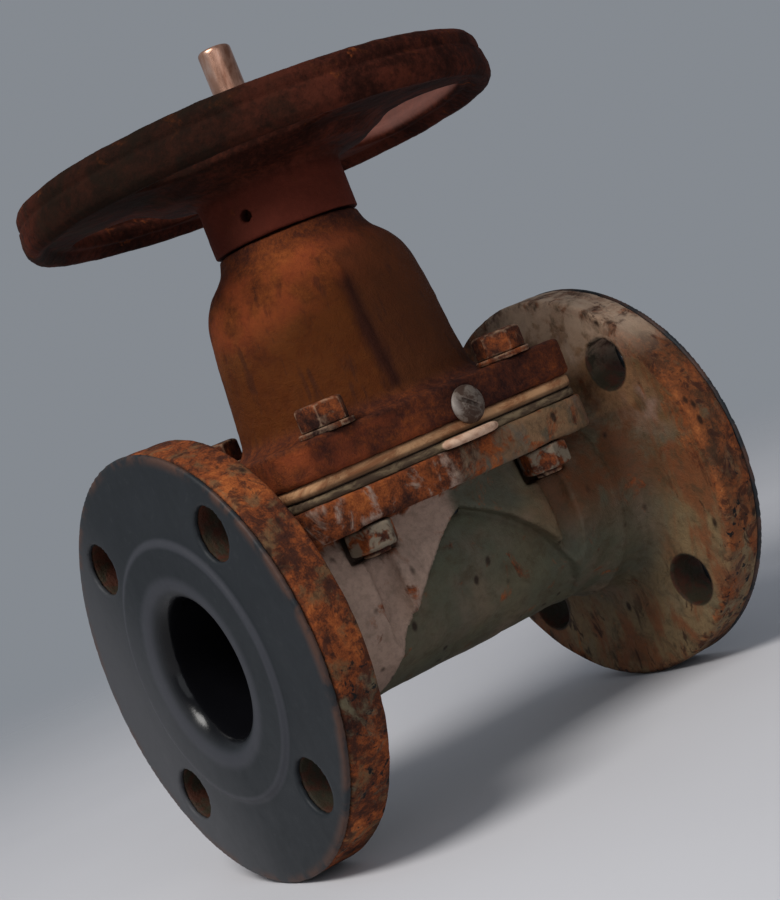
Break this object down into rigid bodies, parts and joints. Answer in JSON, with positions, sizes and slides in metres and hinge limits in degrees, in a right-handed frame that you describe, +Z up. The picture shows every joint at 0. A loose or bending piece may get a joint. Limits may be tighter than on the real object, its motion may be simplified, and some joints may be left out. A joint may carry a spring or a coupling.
{
  "type": "diaphragm valve",
  "caption": "Rubber-lined flanged diaphragm valve with a bolted oval bonnet, a slotted handwheel and a bare rising spindle; turning the wheel lowers the spindle onto a weir.",
  "frame": {"origin": "centre of the inlet flange on the pipe axis, level with the flat of its face, 1.2 mm behind the raised gasket ring", "axes": "+X along the pipe from the inlet face to the outlet face, +Z up along the spindle towards the handwheel, +Y across the pipe"},
  "size_m": [0.1969, 0.178, 0.2767],
  "materials": {
    "body_paint": "pale green-cream paint over cast iron, chipped and rust stained",
    "lining_rubber": "moulded slate grey rubber, satin",
    "diaphragm_rubber": "weathered tan rubber, dusty with rust",
    "tag_metal": "dull grey metal",
    "brass_part": "plain machined",
    "bonnet_iron": "rough casting, orange brown rust",
    "rusty_steel": "rusted",
    "worn_nut_steel": "rusted, with worn pale corners",
    "seal_rubber": "smooth black",
    "plain_steel": "machined",
    "wheel_iron": "rough casting, dark maroon rust",
    "spindle_steel": "bare bright bar with a coppery bloom",
    "inner_iron": "plain casting"
  },
  "bodies": {
    "valve_body": {"body_casting": "body_paint", "body_lining": "lining_rubber", "diaphragm": "diaphragm_rubber", "diaphragm_tag": "tag_metal", "bonnet": "bonnet_iron", "bonnet_bolts": "rusty_steel", "bolt_washers": "rusty_steel", "bonnet_nuts": "worn_nut_steel", "spindle_bush": "brass_part", "spindle_seal": "seal_rubber", "lower_thrust_washer": "brass_part", "upper_thrust_washer": "brass_part", "bearing_retainer": "plain_steel", "sleeve_seal": "seal_rubber"},
    "wheel_assembly": {"drive_sleeve": "brass_part", "handwheel": "wheel_iron", "wheel_washer": "rusty_steel", "wheel_nut": "rusty_steel"},
    "spindle_assembly": {"spindle": "spindle_steel", "compressor": "inner_iron", "compressor_pin": "plain_steel", "diaphragm_stud": "brass_part"}
  },
  "joints": [
    {"name": "wheel_turn", "type": "hinge", "parent": "valve_body", "child": "wheel_assembly", "pos_m": [0.09725, 0, 0.14], "axis": [0, 0, -1], "range_deg": [0, 2448]},
    {"name": "spindle_lift", "type": "slide", "parent": "valve_body", "child": "spindle_assembly", "axis": [0, 0, -1], "range_m": [0, 0.034], "deforming": ["diaphragm"]}
  ],
  "couplings": [
    {"joint": "spindle_lift", "follows": "wheel_turn", "m_per_rad": 0.00079577}
  ]
}
